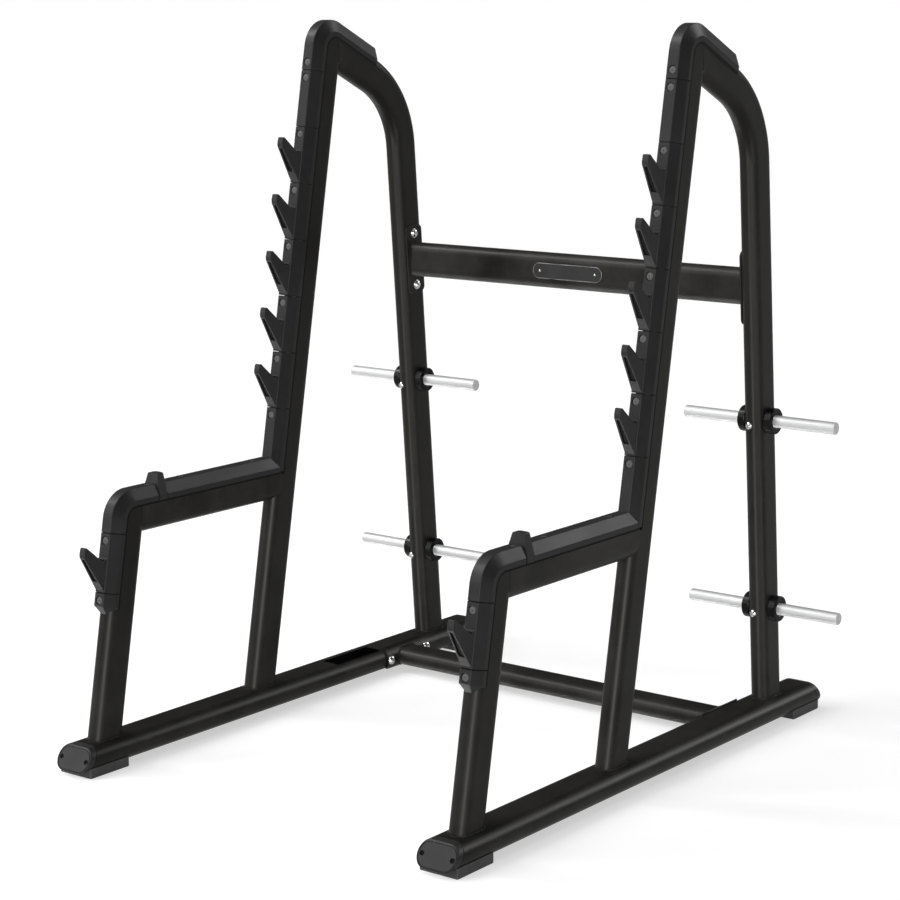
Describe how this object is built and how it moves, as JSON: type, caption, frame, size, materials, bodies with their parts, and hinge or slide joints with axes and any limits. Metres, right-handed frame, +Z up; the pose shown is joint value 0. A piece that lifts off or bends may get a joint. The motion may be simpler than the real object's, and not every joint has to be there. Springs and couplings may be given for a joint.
{
  "type": "squat rack",
  "caption": "Free-standing squat rack: two leaning side frames of flat-oval tube with moulded bar hooks, joined by two crossbeams, with plate horns on the rear posts.",
  "frame": {"origin": "on the floor, midway between the side frames and midway along the base tubes", "axes": "+X to the right-hand side frame, +Y to the back, where the rear posts and plate horns are, +Z up; the lifter stands at the front, at negative Y"},
  "size_m": [1.5434, 1.6328, 1.801],
  "materials": {
    "tube": "near-black satin powder coat with a fine metallic speckle",
    "moulding": "charcoal moulded plastic with a fine grain",
    "horn": "bright polished steel bar",
    "collar": "glossy black ring",
    "badge": "brushed, blank"
  },
  "bodies": {
    "root": {"left_base_tube": "tube", "right_base_tube": "tube", "left_front_post": "tube", "right_front_post": "tube", "left_step_tube": "tube", "right_step_tube": "tube", "left_upright": "tube", "right_upright": "tube", "left_rear_post": "tube", "right_rear_post": "tube", "upper_crossbeam": "tube", "lower_crossbeam": "tube", "left_front_cap": "moulding", "right_front_cap": "moulding", "left_back_cap": "moulding", "right_back_cap": "moulding", "left_front_foot": "moulding", "right_front_foot": "moulding", "left_back_foot": "moulding", "right_back_foot": "moulding", "left_top_cover": "moulding", "right_top_cover": "moulding", "left_plain_cover": "moulding", "right_plain_cover": "moulding", "left_hook_cover_1": "moulding", "right_hook_cover_1": "moulding", "left_hook_cover_2": "moulding", "right_hook_cover_2": "moulding", "left_hook_cover_3": "moulding", "right_hook_cover_3": "moulding", "left_hook_cover_4": "moulding", "right_hook_cover_4": "moulding", "left_hook_cover_5": "moulding", "right_hook_cover_5": "moulding", "left_lower_cover": "moulding", "right_lower_cover": "moulding", "left_step_cover": "moulding", "right_step_cover": "moulding", "left_step_stop": "moulding", "right_step_stop": "moulding", "left_front_corner_cover": "moulding", "right_front_corner_cover": "moulding", "left_front_hook_cover": "moulding", "right_front_hook_cover": "moulding", "left_front_end_cover": "moulding", "right_front_end_cover": "moulding", "left_upper_horn": "horn", "right_upper_horn": "horn", "left_lower_horn": "horn", "right_lower_horn": "horn", "left_upper_inner_collar": "collar", "right_upper_inner_collar": "collar", "left_upper_outer_collar": "collar", "right_upper_outer_collar": "collar", "left_lower_inner_collar": "collar", "right_lower_inner_collar": "collar", "left_lower_outer_collar": "collar", "right_lower_outer_collar": "collar", "badge_plate": "badge"}
  },
  "joints": []
}
